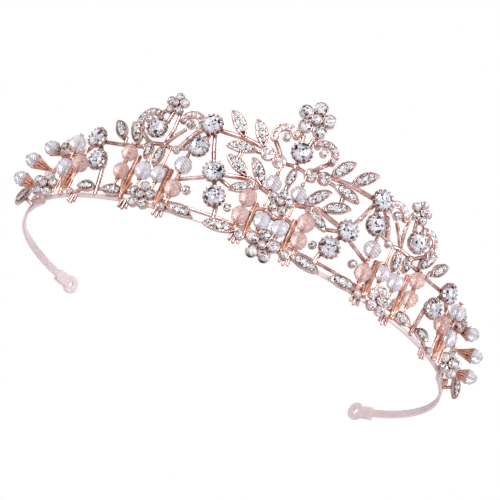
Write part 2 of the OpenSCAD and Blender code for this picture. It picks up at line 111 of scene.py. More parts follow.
def new_node(tree, kind, **settings):
    node = tree.nodes.new(kind)
    for name, value in settings.items():
        setattr(node, name, value)
    return node


def ramp_node(tree, stops):
    """A colour ramp from a list of (position, colour)."""
    node = tree.nodes.new("ShaderNodeValToRGB")
    elements = node.color_ramp.elements
    while len(elements) < len(stops):
        elements.new(0.5)
    for element, (position, colour) in zip(elements, stops):
        element.position = position
        element.color = (*colour, 1)
    return node


def make_world():
    """A white studio. What glossy metal and stones reflect has dark gaps between the soft boxes."""
    world = bpy.data.worlds.new("studio")
    bpy.context.scene.world = world
    world.use_nodes = True
    tree = world.node_tree
    tree.nodes.clear()
    link = tree.links.new
    where = new_node(tree, "ShaderNodeTexCoord")
    noise = new_node(tree, "ShaderNodeTexNoise")
    noise.inputs["Scale"].default_value = 4.4
    noise.inputs["Detail"].default_value = 1.5
    boxes = ramp_node(tree, [(0.0, (0.07, 0.06, 0.065)), (0.46, (0.09, 0.08, 0.085)),
                             (0.53, (1.05, 1.05, 1.07)), (1.0, (1.15, 1.15, 1.15))])
    studio = new_node(tree, "ShaderNodeBackground")
    backdrop = new_node(tree, "ShaderNodeBackground")
    backdrop.inputs["Color"].default_value = (1, 1, 1, 1)
    ray = new_node(tree, "ShaderNodeLightPath")
    straight = new_node(tree, "ShaderNodeMath", operation="MAXIMUM")
    choose = new_node(tree, "ShaderNodeMixShader")
    out = new_node(tree, "ShaderNodeOutputWorld")
    link(where.outputs["Generated"], noise.inputs["Vector"])
    link(noise.outputs["Fac"], boxes.inputs["Fac"])
    link(boxes.outputs["Color"], studio.inputs["Color"])
    link(ray.outputs["Is Camera Ray"], straight.inputs[0])
    link(ray.outputs["Is Transmission Ray"], straight.inputs[1])
    link(straight.outputs[0], choose.inputs["Fac"])
    link(studio.outputs["Background"], choose.inputs[1])
    link(backdrop.outputs["Background"], choose.inputs[2])
    link(choose.outputs["Shader"], out.inputs["Surface"])


def soft_box(name, position, size, watts):
    """A square lamp that faces the tiara. Position and size are in metres."""
    data = bpy.data.lights.new(name, "AREA")
    data.size = size
    data.energy = watts
    lamp = bpy.data.objects.new(name, data)
    bpy.context.scene.collection.objects.link(lamp)
    place = Vector(position)
    lamp.matrix_world = Matrix.Translation(place) @ (-place).to_track_quat("-Z", "Y").to_matrix().to_4x4()


# How far the floor reaches, and how far from the tiara it starts and ends to fade to white, in metres
FLOOR_REACH = 4.0
FADE_START = 0.15
FADE_END = 0.9


def make_floor():
    """A pale floor that the tiara stands on. It has one face only, so it is clear from below."""
    mesh = bpy.data.meshes.new("floor")
    corners = [(-FLOOR_REACH, -FLOOR_REACH, 0), (FLOOR_REACH, -FLOOR_REACH, 0),
               (FLOOR_REACH, FLOOR_REACH, 0), (-FLOOR_REACH, FLOOR_REACH, 0)]
    mesh.from_pydata(corners, [], [(0, 1, 2, 3)])
    floor = bpy.data.objects.new("floor", mesh)
    bpy.context.scene.collection.objects.link(floor)
    material = bpy.data.materials.new("floor_white")
    material.use_nodes = True
    tree = material.node_tree
    tree.nodes.clear()
    link = tree.links.new
    side = new_node(tree, "ShaderNodeNewGeometry")
    noise = new_node(tree, "ShaderNodeTexNoise")
    noise.inputs["Scale"].default_value = 60
    tint = ramp_node(tree, [(0, (0.86, 0.86, 0.87)), (1, (0.9, 0.9, 0.9))])
    white = new_node(tree, "ShaderNodeBsdfDiffuse")
    clear = new_node(tree, "ShaderNodeBsdfTransparent")
    choose = new_node(tree, "ShaderNodeMixShader")
    out = new_node(tree, "ShaderNodeOutputMaterial")
    where = new_node(tree, "ShaderNodeTexCoord")
    away = new_node(tree, "ShaderNodeVectorMath", operation="LENGTH")
    haze = new_node(tree, "ShaderNodeMapRange")
    haze.inputs["From Min"].default_value = FADE_START
    haze.inputs["From Max"].default_value = FADE_END
    glow = new_node(tree, "ShaderNodeEmission")
    fade = new_node(tree, "ShaderNodeMixShader")
    link(where.outputs["Object"], away.inputs[0])
    link(away.outputs["Value"], haze.inputs["Value"])
    link(haze.outputs["Result"], fade.inputs["Fac"])
    link(white.outputs["BSDF"], fade.inputs[1])
    link(glow.outputs["Emission"], fade.inputs[2])
    link(noise.outputs["Fac"], tint.inputs["Fac"])
    link(tint.outputs["Color"], white.inputs["Color"])
    link(side.outputs["Backfacing"], choose.inputs["Fac"])
    link(fade.outputs["Shader"], choose.inputs[1])
    link(clear.outputs["BSDF"], choose.inputs[2])
    link(choose.outputs["Shader"], out.inputs["Surface"])
    mesh.materials.append(material)


# ---- materials ----

def start_material(name):
    """A new material with its tree, its shader, and the object's own coordinates."""
    material = bpy.data.materials.new(name)
    material.use_nodes = True
    tree = material.node_tree
    shader = tree.nodes["Principled BSDF"]
    where = new_node(tree, "ShaderNodeTexCoord")
    return material, tree, shader, where.outputs["Object"]


def noise_node(tree, where, scale, detail=2.0, stretch=None):
    """A noise texture in the object's coordinates, stretched along some axes if asked."""
    noise = new_node(tree, "ShaderNodeTexNoise")
    noise.inputs["Scale"].default_value = scale
    noise.inputs["Detail"].default_value = detail
    if stretch:
        mapping = new_node(tree, "ShaderNodeMapping")
        mapping.inputs["Scale"].default_value = stretch
        tree.links.new(where, mapping.inputs["Vector"])
        where = mapping.outputs["Vector"]
    tree.links.new(where, noise.inputs["Vector"])
    return noise.outputs["Fac"]


def bumped(tree, shader, height, depth, strength):
    """Bumps the surface by a texture that is this deep in metres."""
    bump = new_node(tree, "ShaderNodeBump")
    bump.inputs["Strength"].default_value = strength
    bump.inputs["Distance"].default_value = depth
    tree.links.new(height, bump.inputs["Height"])
    tree.links.new(bump.outputs["Normal"], shader.inputs["Normal"])


def ramped(tree, value, stops, target):
    """Sends a value through a colour ramp to a shader's socket."""
    ramp = ramp_node(tree, stops)
    tree.links.new(value, ramp.inputs["Fac"])
    tree.links.new(ramp.outputs["Color"], target)


def grey(value):
    return (value, value, value)


# How far from a crevice its painted shade reaches, in metres
PAINTED_SHADE_REACH = 0.45 * MM


def plated_metal(name, deep, middle, bright, painted_shade_colour, rough=(0.16, 0.34)):
    """Cast and plated metal: patchy colour, with painted shade that darkens its crevices, and a fine grain.
    """
    material, tree, shader, where = start_material(name)
    shader.inputs["Metallic"].default_value = 1.0
    patches = noise_node(tree, where, 420, 3)
    colour = ramp_node(tree, [(0.3, deep), (0.5, middle), (0.72, bright)])
    tree.links.new(patches, colour.inputs["Fac"])
    # Painted shade: where ambient occlusion finds a crevice nearby, the base colour darkens towards a
    # near-black shade colour
    shade = new_node(tree, "ShaderNodeAmbientOcclusion", samples=4)
    shade.inputs["Distance"].default_value = PAINTED_SHADE_REACH
    depth = new_node(tree, "ShaderNodeMapRange")
    depth.inputs["From Min"].default_value = 0.25
    depth.inputs["From Max"].default_value = 0.8
    mix = new_node(tree, "ShaderNodeMix", data_type="RGBA")
    mix.inputs["A"].default_value = (*painted_shade_colour, 1)
    tree.links.new(shade.outputs["AO"], depth.inputs["Value"])
    tree.links.new(depth.outputs["Result"], mix.inputs["Factor"])
    tree.links.new(colour.outputs["Color"], mix.inputs["B"])
    tree.links.new(mix.outputs["Result"], shader.inputs["Base Color"])
    wear = noise_node(tree, where, 900, 2)
    ramped(tree, wear, [(0.3, grey(rough[0])), (0.7, grey(rough[1]))], shader.inputs["Roughness"])
    bumped(tree, shader, noise_node(tree, where, 1500, 3), 0.04 * MM, 0.3)
    return material


def satin_metal(name):
    """The strip's satin plating: pale pink, finely brushed along its length, faintly clouded."""
    material, tree, shader, where = start_material(name)
    shader.inputs["Metallic"].default_value = 0.35
    clouds = noise_node(tree, where, 90, 3)
    pinks = [(0.3, (0.92, 0.74, 0.75)), (0.55, (0.96, 0.81, 0.82)), (0.8, (1.0, 0.88, 0.89))]
    ramped(tree, clouds, pinks, shader.inputs["Base Color"])
    grain = noise_node(tree, where, 1.0, 2, stretch=(260, 260, 5200))
    ramped(tree, grain, [(0.3, grey(0.3)), (0.7, grey(0.48))], shader.inputs["Roughness"])
    bumped(tree, shader, grain, 0.03 * MM, 0.4)
    return material


# How much the flecks in a cut stone shift the painted reflection tone of a facet
FLECKING = 0.35


def cut_stone(name, tones):
    """Foiled cut crystal with painted reflections: each facet has its own painted reflection tone, from black
    to white, with faint light and dark flecks in it.
    """
    material, tree, shader, where = start_material(name)
    shader.inputs["Metallic"].default_value = 0.25
    shader.inputs["IOR"].default_value = 1.6
    shader.inputs["Coat Weight"].default_value = 0.8
    shader.inputs["Coat Roughness"].default_value = 0.02
    # Painted reflections: each facet's tone picks a colour from near black to white that stands in for what
    # the facet reflects
    tone = new_node(tree, "ShaderNodeAttribute", attribute_name="tone")
    flecks = noise_node(tree, where, 1500, 2)
    centred = new_node(tree, "ShaderNodeMath", operation="SUBTRACT")
    centred.inputs[1].default_value = 0.5
    shifted = new_node(tree, "ShaderNodeMath", operation="MULTIPLY_ADD")
    shifted.inputs[1].default_value = FLECKING
    tree.links.new(flecks, centred.inputs[0])
    tree.links.new(centred.outputs[0], shifted.inputs[0])
    tree.links.new(tone.outputs["Fac"], shifted.inputs[2])
    ramped(tree, shifted.outputs[0], tones, shader.inputs["Base Color"])
    ramped(tree, flecks, [(0.3, grey(0.03)), (0.7, grey(0.1))], shader.inputs["Roughness"])
    return material


def frosted_glass(name):
    """Peach glass with a crackled grain all through it."""
    material, tree, shader, where = start_material(name)
    shader.inputs["IOR"].default_value = 1.28
    shader.inputs["Transmission Weight"].default_value = 0.5
    crackle = noise_node(tree, where, 2300, 3)
    peaches = [(0.36, (0.74, 0.38, 0.32)), (0.5, (0.92, 0.66, 0.62)), (0.62, (1.0, 0.92, 0.92))]
    ramped(tree, crackle, peaches, shader.inputs["Base Color"])
    ramped(tree, crackle, [(0.3, grey(0.35)), (0.7, grey(0.7))], shader.inputs["Roughness"])
    bumped(tree, shader, noise_node(tree, where, 1500, 3), 0.35 * MM, 0.7)
    return material


# How far the stripes are turned about z, in degrees
STRIPE_TURN = 18


def striped_glass(name, line, edge, scale, tilt):
    """Milky glass with fine stripes, tilted by degrees: line is their colour, edge the one beside them."""
    material, tree, shader, where = start_material(name)
    shader.inputs["IOR"].default_value = 1.28
    shader.inputs["Transmission Weight"].default_value = 0.5
    shader.inputs["Coat Weight"].default_value = 0.6
    shader.inputs["Coat Roughness"].default_value = 0.05
    mapping = new_node(tree, "ShaderNodeMapping")
    mapping.inputs["Rotation"].default_value = (0, math.radians(tilt), math.radians(STRIPE_TURN))
    wave = new_node(tree, "ShaderNodeTexWave")
    wave.inputs["Scale"].default_value = scale
    wave.inputs["Distortion"].default_value = 1.6
    wave.inputs["Detail"].default_value = 2
    wave.inputs["Detail Scale"].default_value = 1.2
    tree.links.new(where, mapping.inputs["Vector"])
    tree.links.new(mapping.outputs["Vector"], wave.inputs["Vector"])
    stripes = [(0.0, line), (0.2, edge), (0.42, (0.965, 0.95, 1.0)), (1.0, (0.99, 0.97, 1.0))]
    ramped(tree, wave.outputs["Fac"], stripes, shader.inputs["Base Color"])
    patches = noise_node(tree, where, 900, 3)
    ramped(tree, patches, [(0.3, grey(0.06)), (0.7, grey(0.18))], shader.inputs["Roughness"])
    bumped(tree, shader, wave.outputs["Fac"], 0.06 * MM, 0.4)
    return material


# The colour for each tone of a facet, from black reflections to white ones
STONE_REFLECTION_TONES = [(0.0, (0.012, 0.012, 0.02)), (0.14, (0.03, 0.03, 0.045)), (0.2, (0.26, 0.25, 0.32)),
               (0.42, (0.64, 0.63, 0.73)), (0.7, (0.89, 0.88, 0.96)), (1.0, (1.0, 1.0, 1.0))]
SMALL_REFLECTION_TONES = [(0.0, (0.03, 0.025, 0.03)), (0.13, (0.08, 0.065, 0.07)), (0.2, (0.36, 0.32, 0.34)),
               (0.42, (0.72, 0.68, 0.71)), (0.62, (0.92, 0.90, 0.92)), (1.0, (1.0, 1.0, 1.0))]

# The last colour of each metal is the painted shade in its crevices
ROSE = plated_metal("rose_gold_cast", deep=(0.40, 0.20, 0.175), middle=(0.75, 0.475, 0.44),
                    bright=(0.96, 0.80, 0.78), painted_shade_colour=(0.10, 0.045, 0.04))
CUP = plated_metal("rose_gold_cups", deep=(0.46, 0.29, 0.275), middle=(0.78, 0.59, 0.565),
                   bright=(0.98, 0.87, 0.86), painted_shade_colour=(0.16, 0.075, 0.065))
LEAF = plated_metal("rose_gold_leaves", deep=(0.50, 0.31, 0.285), middle=(0.79, 0.56, 0.53),
                    bright=(0.98, 0.82, 0.80), painted_shade_colour=(0.26, 0.14, 0.12))
COPPER = plated_metal("copper_wire", deep=(0.56, 0.24, 0.15), middle=(0.91, 0.50, 0.38),
                      bright=(1.0, 0.77, 0.67), painted_shade_colour=(0.2, 0.06, 0.035), rough=(0.18, 0.32))
BAND = satin_metal("band_satin")
# Cut stones whose facet colours are painted reflections
CRYSTAL = cut_stone("crystal_painted_reflections", STONE_REFLECTION_TONES)
SMALL = cut_stone("small_stone_painted_reflections", SMALL_REFLECTION_TONES)
CLEAR = striped_glass("clear_glass", line=(0.76, 0.68, 0.82), edge=(0.94, 0.91, 0.99), scale=560, tilt=35)
STRIPED = striped_glass("striped_glass", line=(0.56, 0.42, 0.47), edge=(0.82, 0.73, 0.80), scale=430, tilt=62)
PEACH = frosted_glass("peach_glass")


# ---- where the frame's solids are ----

# Corner points that agree to this many steps in a metre are one point
GRID_STEPS = 1e7


def solids(node):
    """The separate solids of a CAD node, each an array of its corner points."""
    mesh = frame["nodes"][node].data
    points = np.empty(len(mesh.vertices) * 3)
    mesh.vertices.foreach_get("co", points)
    corners = np.empty(len(mesh.loops), int)
    mesh.loops.foreach_get("vertex_index", corners)
    keys = np.round(points.reshape(-1, 3) * GRID_STEPS).astype(np.int64)
    _, first, index = np.unique(keys, axis=0, return_index=True, return_inverse=True)
    points = points.reshape(-1, 3)[first]
    faces = index.reshape(-1)[corners].reshape(-1, 3)
    label = np.arange(len(points))
    while True:
        lower = label.copy()
        np.minimum.at(lower, faces, label[faces].min(axis=1)[:, None])
        lower = lower[lower]
        if (lower == label).all():
            break
        label = lower
    return [points[label == name] for name in np.unique(label)]


def outward(axis, middle):
    """The axis of a solid here, turned so that it points out of the tiara."""
    axis = Vector(axis).normalized()
    return -axis if axis.dot(Vector(middle) - INSIDE) < 0 else axis


def seat(origin, right, out):
    """A place drawn in millimetres: x to its right, z outwards from the tiara."""
    right = (right - out * right.dot(out)).normalized()
    turn = Matrix((right, out.cross(right), out)).transposed().to_4x4()
    return Matrix.Translation(origin) @ turn @ Matrix.Diagonal((MM, MM, MM, 1))


def measure(points):
    """A solid's middle, its own axes from the shortest to the longest, and its size along each."""
    _, axes = np.linalg.eigh(np.cov((points - points.mean(0)).T))
    along = points @ axes
    low, high = along.min(0), along.max(0)
    return Vector(axes @ ((low + high) / 2)), axes.T, high - low


def flat_seat(points):
    """Seat, length, width and thickness in millimetres of a flat solid, from the middle of its back."""
    middle, axes, size = measure(points)
    out = outward(axes[0], middle)
    place = seat(middle - out * (size[0] / 2), Vector(axes[2]), out)
    return place, size[2] / MM, size[1] / MM, size[0] / MM


def stone_seat(points):
    """Seat of a round stone, from its lowest point, with its radius and its height in millimetres."""
    middle, axes, size = measure(points)
    out = outward(axes[0], middle)
    place = seat(middle - out * (size[0] / 2), UP.cross(out), out)
    return place, (size[1] + size[2]) / 4 / MM, size[0] / MM


def lifted(place, z, turn=0.0):
    """The place moved along its own z, and turned about it."""
    return place @ Matrix.Translation((0, 0, z)) @ Matrix.Rotation(turn, 4, "Z")


# ---- mesh parts: each is (points in millimetres, faces) ----

def polar(radius, angle, z=0.0):
    """The point at this radius and angle about z."""
    return radius * math.cos(angle), radius * math.sin(angle), z


# Edges sharper than this, in degrees, stay crisp on a smooth part
CRISP_ANGLE = 65


class Shape:
    """Parts gathered into one mesh, with a tone for each face."""

    def __init__(self):
        self.points, self.faces, self.smooth, self.tones, self.count = [], [], [], [], 0

    def add(self, part, place=None, smooth=True, tones=None):
        points, faces = np.asarray(part[0], float), part[1]
        if place is not None:
            matrix = np.array(place)
            points = points @ matrix[:3, :3].T + matrix[:3, 3]
        self.points.append(points)
        self.faces += [tuple(self.count + i for i in face) for face in faces]
        self.smooth += [smooth] * len(faces)
        self.tones += tones if tones else [0.5] * len(faces)
        self.count += len(points)

    def build(self, name, material):
        mesh = bpy.data.meshes.new(name)
        mesh.from_pydata(np.vstack(self.points).tolist(), [], self.faces)
        mesh.set_sharp_from_angle(angle=math.radians(CRISP_ANGLE))
        mesh.polygons.foreach_set("use_smooth", self.smooth)
        mesh.attributes.new("tone", "FLOAT", "FACE").data.foreach_set("value", self.tones)
        mesh.materials.append(material)
        mesh.update()
        piece = bpy.data.objects.new(name, mesh)
        bpy.context.scene.collection.objects.link(piece)
        return piece


def rings_to_part(rings, closed=False):
    """Joins rings of points into a skin, with a flat cap at each end unless the rings close up."""
    steps = len(rings[0])
    points = [p for ring in rings for p in ring]
    faces = []
    last = len(rings) if closed else len(rings) - 1
    for i in range(last):
        a, b = i * steps, (i + 1) % len(rings) * steps
        faces += [(a + j, a + (j + 1) % steps, b + (j + 1) % steps, b + j) for j in range(steps)]
    if not closed:
        faces.append(tuple(reversed(range(steps))))
        faces.append(tuple((len(rings) - 1) * steps + j for j in range(steps)))
    return points, faces


def revolve(profile, steps, closed=False):
    """Turns (radius, z) points about z."""
    rings = [[polar(radius, TAU * j / steps, z) for j in range(steps)] for radius, z in profile]
    return rings_to_part(rings, closed)


def ball(radius, centre, steps=8, rows=5):
    """A small solid ball with a pole at each end."""
    profile = [(max(radius * math.sin(math.pi * i / rows), 0.02 * radius),
                -radius * math.cos(math.pi * i / rows)) for i in range(rows + 1)]
    points, faces = revolve(profile, steps)
    return np.asarray(points) + np.asarray(centre), faces


def tube(path, radii, sides):
    """A round wire along a path, with rounded ends and a radius for each point."""
    path = [Vector(p) for p in path]
    last = len(path) - 1
    tangents = [(path[min(i + 1, last)] - path[max(i - 1, 0)]).normalized() for i in range(len(path))]
    side = tangents[0].orthogonal().normalized()
    rings = []
    for point, tangent, reach in zip(path, tangents, radii):
        side = (side - tangent * side.dot(tangent)).normalized()
        other = tangent.cross(side)
        rings.append([point + (side * math.cos(TAU * j / sides) + other * math.sin(TAU * j / sides)) * reach
                      for j in range(sides)])
    back, ahead = tangents[0] * radii[0] * 0.5, tangents[-1] * radii[-1] * 0.5
    rings.insert(0, [path[0] - back + (p - path[0]) * 0.55 for p in rings[0]])
    rings.append([path[-1] + ahead + (p - path[-1]) * 0.55 for p in rings[-1]])
    return [tuple(p) for ring in rings for p in ring], rings_to_part(rings)[1]


def coil(low, high, radius, wire, pitch):
    """A wire wound round the z axis from low to high."""
    steps = 12
    turns = (high - low) / pitch
    count = max(int(turns * steps), steps)
    path = [polar(radius, TAU * i / steps, low + (high - low) * i / count) for i in range(count + 1)]
    return tube(path, [wire] * len(path), 6)


def brilliant(radius, crown, pavilion, girdle):
    """A round brilliant cut. The table is cut as a shallow star, and z is 0 under its girdle."""
    # Radii of the table, of the kites' inner corners and of the lower facets, and depth of the star
    table, mid, low, dish = 0.58, 0.79, 0.3, 0.12
    eighth = TAU / 8
    top = girdle + crown

    def ring(count, share, z, start=0.0):
        return [polar(radius * share, TAU * (i + start) / count, z) for i in range(count)]

    slope = (1 - mid * math.cos(eighth / 2)) / (1 - table)
    rings = [ring(1, 0.0, top - dish * radius), ring(8, table * 0.5, top - dish * radius * 0.35, 0.5),
             ring(8, table, top), ring(8, mid, girdle + crown * slope, 0.5), ring(16, 1.0, girdle),
             ring(16, 1.0, 0.0), ring(8, low, -pavilion * (1 - low * math.cos(eighth / 2)), 0.5),
             ring(1, 0.0, -pavilion)]
    points = [p for r in rings for p in r]
    starts = np.cumsum([0] + [len(r) for r in rings]).tolist()
    centre, inner, edge, kite, upper, lower, base, culet, _ = starts
    faces = []
    for i in range(8):
        j = (i + 1) % 8
        even, odd, after = 2 * i, 2 * i + 1, 2 * j
        faces.append((centre, inner + i, inner + j))
        faces.append((inner + i, edge + j, inner + j))
        faces.append((inner + i, edge + i, edge + j))
        faces.append((edge + i, kite + i, edge + j))
        faces.append((edge + j, kite + i, upper + after, kite + j))
        faces.append((kite + i, upper + even, upper + odd))
        faces.append((kite + i, upper + odd, upper + after))
        faces.append((upper + even, lower + even, lower + odd, upper + odd))
        faces.append((upper + odd, lower + odd, lower + after, upper + after))
        faces.append((base + i, lower + odd, lower + even))
        faces.append((base + i, lower + after, lower + odd))
        faces.append((base + i, culet, base + j, lower + after))
    return points, faces


def painted_reflection_tones(count, dark_reflections):
    """A painted reflection tone for each facet: some near black, many lavender grey, some white."""
    tones = []
    for _ in range(count):
        pick = random.random()
        if pick < dark_reflections:
            tones.append(random.uniform(0.02, 0.14))
        elif pick < dark_reflections + 0.28:
            tones.append(random.uniform(0.3, 0.5))
        elif pick < 0.84:
            tones.append(random.uniform(0.55, 0.75))
        else:
            tones.append(random.uniform(0.9, 1.0))
    return tones


# Least depth of a stone below its girdle, in millimetres
LEAST_PAVILION = 0.4


def add_stone(shape, place, radius, height, crown, girdle, dark_reflections):
    """A cut stone in a seat whose z is 0 at the lowest point of the CAD stone, with painted reflection tones
    on its facets.
    """
    under = height - crown - girdle
    stone = brilliant(radius, crown, max(under, LEAST_PAVILION), girdle)
    turned = lifted(place, under, random.uniform(0, TAU))
    shape.add(stone, turned, smooth=False, tones=painted_reflection_tones(len(stone[1]), dark_reflections))


# ---- softened copies of CAD castings ----

def copied(name, node):
    """A new object with the CAD node's mesh, its split corners joined again."""
    mesh = frame["nodes"][node].data.copy()
    mesh.name = name
    mesh.materials.clear()
    edit = bmesh.new()
    edit.from_mesh(mesh)
    bmesh.ops.remove_doubles(edit, verts=edit.verts, dist=1 / GRID_STEPS)
    edit.to_mesh(mesh)
    edit.free()
    for layer in list(mesh.uv_layers):
        mesh.uv_layers.remove(layer)
    if mesh.has_custom_normals:
        mesh.attributes.remove(mesh.attributes["custom_normal"])
    piece = bpy.data.objects.new(name, mesh)
    bpy.context.scene.collection.objects.link(piece)
    return piece


def settle(piece):
    """Applies a piece's modifiers to its mesh."""
    graph = bpy.context.evaluated_depsgraph_get()
    mesh = bpy.data.meshes.new_from_object(piece.evaluated_get(graph))
    piece.modifiers.clear()
    old = piece.data
    piece.data = mesh
    bpy.data.meshes.remove(old)
    mesh.name = piece.name


def cast(name, node, material, voxel, relax, swell=0.0):
    """A casting: the CAD solids melted into one skin with rounded joints, and swollen by millimetres."""
    piece = copied(name, node)
    melt = piece.modifiers.new("melt", "REMESH")
    melt.mode = "VOXEL"
    melt.voxel_size = voxel * MM
    smooth = piece.modifiers.new("relax", "SMOOTH")
    smooth.factor = 0.5
    smooth.iterations = relax
    if swell:
        fuller = piece.modifiers.new("fuller", "DISPLACE")
        fuller.strength = swell * MM
        fuller.mid_level = 0.0
    settle(piece)
    piece.data.polygons.foreach_set("use_smooth", [True] * len(piece.data.polygons))
    piece.data.materials.append(material)
    return piece


def softened(name, node, material, width):
    """The CAD solid with its sharp edges rounded."""
    piece = copied(name, node)
    edge = piece.modifiers.new("edges", "BEVEL")
    edge.width = width * MM
    edge.segments = 3
    edge.limit_method = "ANGLE"
    edge.angle_limit = math.radians(40)
    edge.use_clamp_overlap = True
    settle(piece)
    piece.data.polygons.foreach_set("use_smooth", [True] * len(piece.data.polygons))
    piece.data.set_sharp_from_angle(angle=math.radians(50))
    piece.data.materials.append(material)
    return piece


def stand_for(piece, slot, *nodes):
    """The piece rides with these CAD nodes and hides them. The slot is not used."""
    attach(piece, BODY_OF[nodes[0]])
    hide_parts(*nodes)


# ---- pieces ----

def make_band():
    stand_for(softened("headband_strip", "headband", BAND, width=0.22), "band_metal", "headband")
    for side in SIDES:
        node = f"{side}_end_loop"
        stand_for(cast(f"{node}_plate", node, BAND, voxel=0.1, relax=3), "band_metal", node)


CASTINGS = ["upper_rail", "centre_stems"]
CASTINGS += [f"{side}_{kind}_stems" for kind in ("inner", "side", "outer") for side in SIDES]
CASTINGS += [f"{side}_{kind}" for kind in ("centre_scroll", "side_scrolls") for side in SIDES]
# How much thicker the cast skin is than the CAD wires, which fills out their solder joints
STEM_SWELL = 0.1


def make_castings():
    for node in CASTINGS:
        piece = cast(f"{node}_casting", node, ROSE, voxel=0.11, relax=5, swell=STEM_SWELL)
        stand_for(piece, "rose_gold", node)


LEAF_NODES = ["centre_leaf"]
LEAF_NODES += [f"{side}_{kind}_leaves" for kind in ("inner", "side", "border") for side in SIDES]
# How far the two tips of a leaf droop in millimetres, and how it grows past the flat CAD leaf
LEAF_BEND = 0.45
LEAF_STRETCH = 1.12
LEAF_SPREAD = 1.06
# Grains along the rim of a leaf: their radius, spacing and distance from its edge
RIM_GRAIN = 0.15
RIM_PITCH = 0.4
RIM_INSET = 0.17
# Radius of the beads of metal between a leaf's stones
PRONG = 0.24


def leaf_ring(length, width, inset, z, bend, steps=44):
    """One outline of a leaf, drawn in from its edge by inset, with both tips bent to one side."""
    # How pointed the tips are, and how much further a tip is drawn in than a side
    point, tip_inset = 1.4, 1.25 * inset
    ring = []
    for i in range(steps):
        angle = TAU * i / steps
        u = math.cos(angle)
        v = math.copysign(abs(math.sin(angle)) ** point, math.sin(angle))
        ring.append((u * (length / 2 - tip_inset), v * (width / 2 - inset) + bend * u ** 4, z))
    return ring


def leaf_part(length, width, thick, bend):
    """A leaf: a dished plate with a rolled rim."""
    steps = [(0.14, 0.0), (0.02, 0.1), (0.0, 0.5 * thick), (0.03, 0.88 * thick), (0.12, thick),
             (0.22, 1.02 * thick), (0.32, 0.97 * thick), (0.38, 0.88 * thick), (0.42, 0.8 * thick)]
    return rings_to_part([leaf_ring(length, width, inset, z, bend) for inset, z in steps])


def add_leaf(shape, place, length, width, thick):
    """A leaf with grains along its rim, and four prongs between its three stones."""
    bend = -LEAF_BEND if place.col[1].z > 0 else LEAF_BEND
    shape.add(leaf_part(length, width, thick, bend), place)
    rim = leaf_ring(length, width, RIM_INSET, thick, bend, steps=200)
    gap = 0.0
    for before, here in zip(rim, rim[1:] + rim[:1]):
        gap += math.dist(before, here)
        if gap > RIM_PITCH:
            shape.add(ball(RIM_GRAIN, here, 6, 4), place)
            gap = 0.0
    for x in (-0.125, 0.125):
        for y in (-0.3, 0.3):
            shape.add(ball(PRONG, (x * length, y * width, thick * 0.95)), place)


def make_leaves():
    for node in LEAF_NODES:
        shape = Shape()
        for points in solids(node):
            place, length, width, thick = flat_seat(points)
            add_leaf(shape, place, length * LEAF_STRETCH, width * LEAF_SPREAD, thick)
        stand_for(shape.build(f"{node}_beaded", LEAF), "rose_gold", node)


# Rise of a small stone's crown, as a share of its radius, its girdle in millimetres, and its share of facets
# painted with dark reflections
SMALL_CROWN = 0.4
SMALL_GIRDLE = 0.08
SMALL_DARK_REFLECTIONS = 0.22
# Crown and girdle of a big crystal in millimetres, and its share of facets painted with dark reflections
BIG_CROWN = 0.9
BIG_GIRDLE = 0.25
BIG_DARK_REFLECTIONS = 0.2
# Depth of a big crystal's cup below its point
CUP_BELOW_CRYSTAL = 0.55
# How much wider a pave stone is than its CAD stone
PAVE_GROWTH = 1.2

PAVE_NODES = [f"{part}_pave_stones" for part in ("centre", *SIDES)]
SMALL_STONE_NODES = [f"{side}_small_stones" for side in SIDES]
FLOWER_STONE_NODES = [f"{part}_flower_stones" for part in ("centre", *SIDES)]


def make_small_stones():
    for node in PAVE_NODES + SMALL_STONE_NODES + FLOWER_STONE_NODES:
        shape = Shape()
        grow = PAVE_GROWTH if node in PAVE_NODES else 1.0
        for points in solids(node):
            place, radius, height = stone_seat(points)
            crown = SMALL_CROWN * radius
            add_stone(shape, place, grow * radius, height, crown, SMALL_GIRDLE, SMALL_DARK_REFLECTIONS)
        stand_for(shape.build(f"{node}_cut", SMALL), "small_stone", node)


# Wall of a bezel cup, and how far its back is below the back of its stone, in millimetres
WALL = 0.35
CUP_DEPTH = 0.95
# The grains that hold a stone: their number, radius and height above the cup's back
GRAINS = 4
GRAIN_RADIUS = 0.2
GRAIN_HEIGHT = 1.42


def cup_part(radius):
    """A bezel cup round a stone of this radius, with z 0 at its back and a rolled lip."""
    r = radius + WALL
    profile = [(0.02, 0.0), (r - 0.2, 0.0), (r - 0.04, 0.08), (r - 0.08, 0.45), (r - 0.02, 1.0), (r, 1.25),
               (r - 0.06, 1.4), (r - 0.2, 1.45), (r - 0.32, 1.36), (r - 0.37, 1.15), (r - 0.4, 0.9),
               (0.02, 0.88)]
    return revolve(profile, 28)


def add_cup(shape, place, radius):
    """A bezel cup with the grains that hold its stone."""
    back = lifted(place, -CUP_DEPTH)
    shape.add(cup_part(radius), back)
    for i in range(GRAINS):
        spot = polar(radius + 0.05, TAU * (i + 0.5) / GRAINS, GRAIN_HEIGHT)
        shape.add(ball(GRAIN_RADIUS, spot, 7), back)


def make_small_bezels():
    for side in SIDES:
        shape = Shape()
        for points in solids(f"{side}_small_stones"):
            place, radius, _ = stone_seat(points)
            add_cup(shape, place, radius)
        stand_for(shape.build(f"{side}_small_bezel_cups", CUP), "rose_gold", f"{side}_small_bezels")


# How far the plate behind a flower lies in front of its cups' backs, and its thickness
PLATE_INSET = 0.06
PLATE_THICK = 0.6
# Petals of a flower, and the balls of metal between them: radius, height above the plate's back, and
# distance from the middle as a share of the petals' own
PETALS = 5
PETAL_BALL = 0.3
PETAL_BALL_HEIGHT = 1.25
PETAL_BALL_REACH = 0.74

FLOWERS = [(f"{place}_flower_setting", "centre_flower_stones") for place in ("top", "middle", "front")]
FLOWERS += [(f"{side}_{name}", f"{side}_flower_stones") for side in SIDES
            for name in ("side_flower_setting", "band_flower_setting", "end_flower_settings")]


